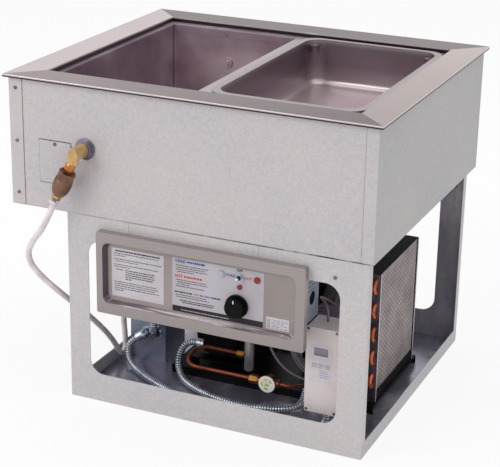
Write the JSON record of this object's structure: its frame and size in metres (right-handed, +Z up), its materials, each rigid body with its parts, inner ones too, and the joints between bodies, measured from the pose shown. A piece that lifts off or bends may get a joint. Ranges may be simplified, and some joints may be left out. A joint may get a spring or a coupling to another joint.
{
  "type": "hot and cold food well",
  "caption": "Drop-in hot and cold food well: flanged steel liner with pan and bar, insulated housing, and a lower frame with control panel, controller and condensing unit.",
  "frame": {"origin": "on the floor, straight under the centre of the rim; the rim's centre is above it", "axes": "+X to the right along the front, +Y from the front to the back, +Z up"},
  "size_m": [0.806, 0.7366, 0.686],
  "materials": {
    "rim_steel": "brushed stainless",
    "liner_steel": "satin stainless",
    "bar_steel": "brushed stainless",
    "pan_steel": "satin stainless",
    "panel_steel": "brushed stainless",
    "galvanised": "galvanised, satin",
    "zinc": "zinc plated",
    "brass": "satin",
    "bronze": "cast, satin",
    "copper": "satin",
    "element": "satin",
    "fins": "satin",
    "black_steel": "satin",
    "breaker_strip": "matte",
    "insulation": "matte",
    "hose": "satin",
    "dark_plastic": "matte",
    "plate": "satin print",
    "chrome": "polished",
    "knob": "matte",
    "lens": "gloss",
    "controller_plastic": "matte",
    "display": "gloss",
    "key": "matte",
    "conduit": "satin",
    "dial": "gloss",
    "cable": "satin"
  },
  "bodies": {
    "well": {"rim_flange": "rim_steel", "breaker_strip": "breaker_strip", "well_liner": "liner_steel", "insulation_boards": "insulation", "evaporator_coil": "copper", "heating_element": "element", "housing_front": "galvanised", "housing_back": "galvanised", "housing_left": "galvanised", "housing_right": "galvanised", "housing_base": "galvanised", "access_cover": "galvanised", "sheet_screws": "zinc", "port_fitting": "zinc", "fill_fittings": "brass", "check_valve_body": "bronze", "hose_clamp": "zinc", "fill_hose": "hose", "fill_valve": "dark_plastic", "frame_front": "galvanised", "frame_back": "galvanised", "frame_tray": "galvanised", "control_panel": "panel_steel", "control_box": "galvanised", "control_overlay": "plate", "instruction_plates": "plate", "toggle_body": "dark_plastic", "thermostat_body": "dark_plastic", "pilot_lights": "lens", "contactor": "dark_plastic", "controller_base": "controller_plastic", "controller_cover": "controller_plastic", "controller_display": "display", "controller_bracket": "galvanised", "junction_box": "galvanised", "conduit_connectors": "zinc", "conduit_left": "conduit", "conduit_right": "conduit", "conduit_up": "conduit", "unit_base": "black_steel", "compressor_shell": "black_steel", "condenser_fins": "fins", "condenser_tubes": "copper", "condenser_plates": "galvanised", "fan_shroud": "black_steel", "fan_motor": "black_steel", "copper_lines": "copper", "filter_drier": "copper", "line_fittings": "brass", "sight_glass_dial": "dial", "sensor_cable": "cable"},
    "adaptor_bar": {"adaptor_bar": "bar_steel"},
    "food_pan": {"food_pan": "pan_steel"},
    "thermostat_knob": {"thermostat_knob": "knob"},
    "toggle_lever": {"toggle_lever": "chrome"},
    "key_1": {"controller_key_1": "key"},
    "key_2": {"controller_key_2": "key"},
    "key_3": {"controller_key_3": "key"},
    "fan": {"fan_blade": "fins"},
    "check_poppet": {"check_valve_poppet": "brass"}
  },
  "joints": [
    {"name": "bar_lift", "type": "slide", "parent": "well", "child": "adaptor_bar", "axis": [0, 0, 1], "range_m": [0, 0.06]},
    {"name": "pan_lift", "type": "slide", "parent": "adaptor_bar", "child": "food_pan", "axis": [0, 0, 1], "range_m": [0, 0.15]},
    {"name": "thermostat_turn", "type": "hinge", "parent": "well", "child": "thermostat_knob", "pos_m": [0.117, -0.345, 0.279], "axis": [0, 1, 0], "range_deg": [0, 300]},
    {"name": "mode_toggle", "type": "hinge", "parent": "well", "child": "toggle_lever", "pos_m": [0.122, -0.3345, 0.341], "axis": [0, 0, 1], "range_deg": [-13, 13]},
    {"name": "key_1_press", "type": "slide", "parent": "well", "child": "key_1", "axis": [0, 1, 0], "range_m": [0, 0.0005], "stiffness_N_per_m": 200},
    {"name": "key_2_press", "type": "slide", "parent": "well", "child": "key_2", "axis": [0, 1, 0], "range_m": [0, 0.0005], "stiffness_N_per_m": 200},
    {"name": "key_3_press", "type": "slide", "parent": "well", "child": "key_3", "axis": [0, 1, 0], "range_m": [0, 0.0005], "stiffness_N_per_m": 200},
    {"name": "fan_spin", "type": "hinge", "parent": "well", "child": "fan", "pos_m": [0.212, -0.003, 0.1745], "axis": [1, 0, 0], "continuous": true},
    {"name": "check_lift", "type": "slide", "parent": "well", "child": "check_poppet", "axis": [0.4305, 0, 0.9026], "range_m": [0, 0.004]}
  ]
}
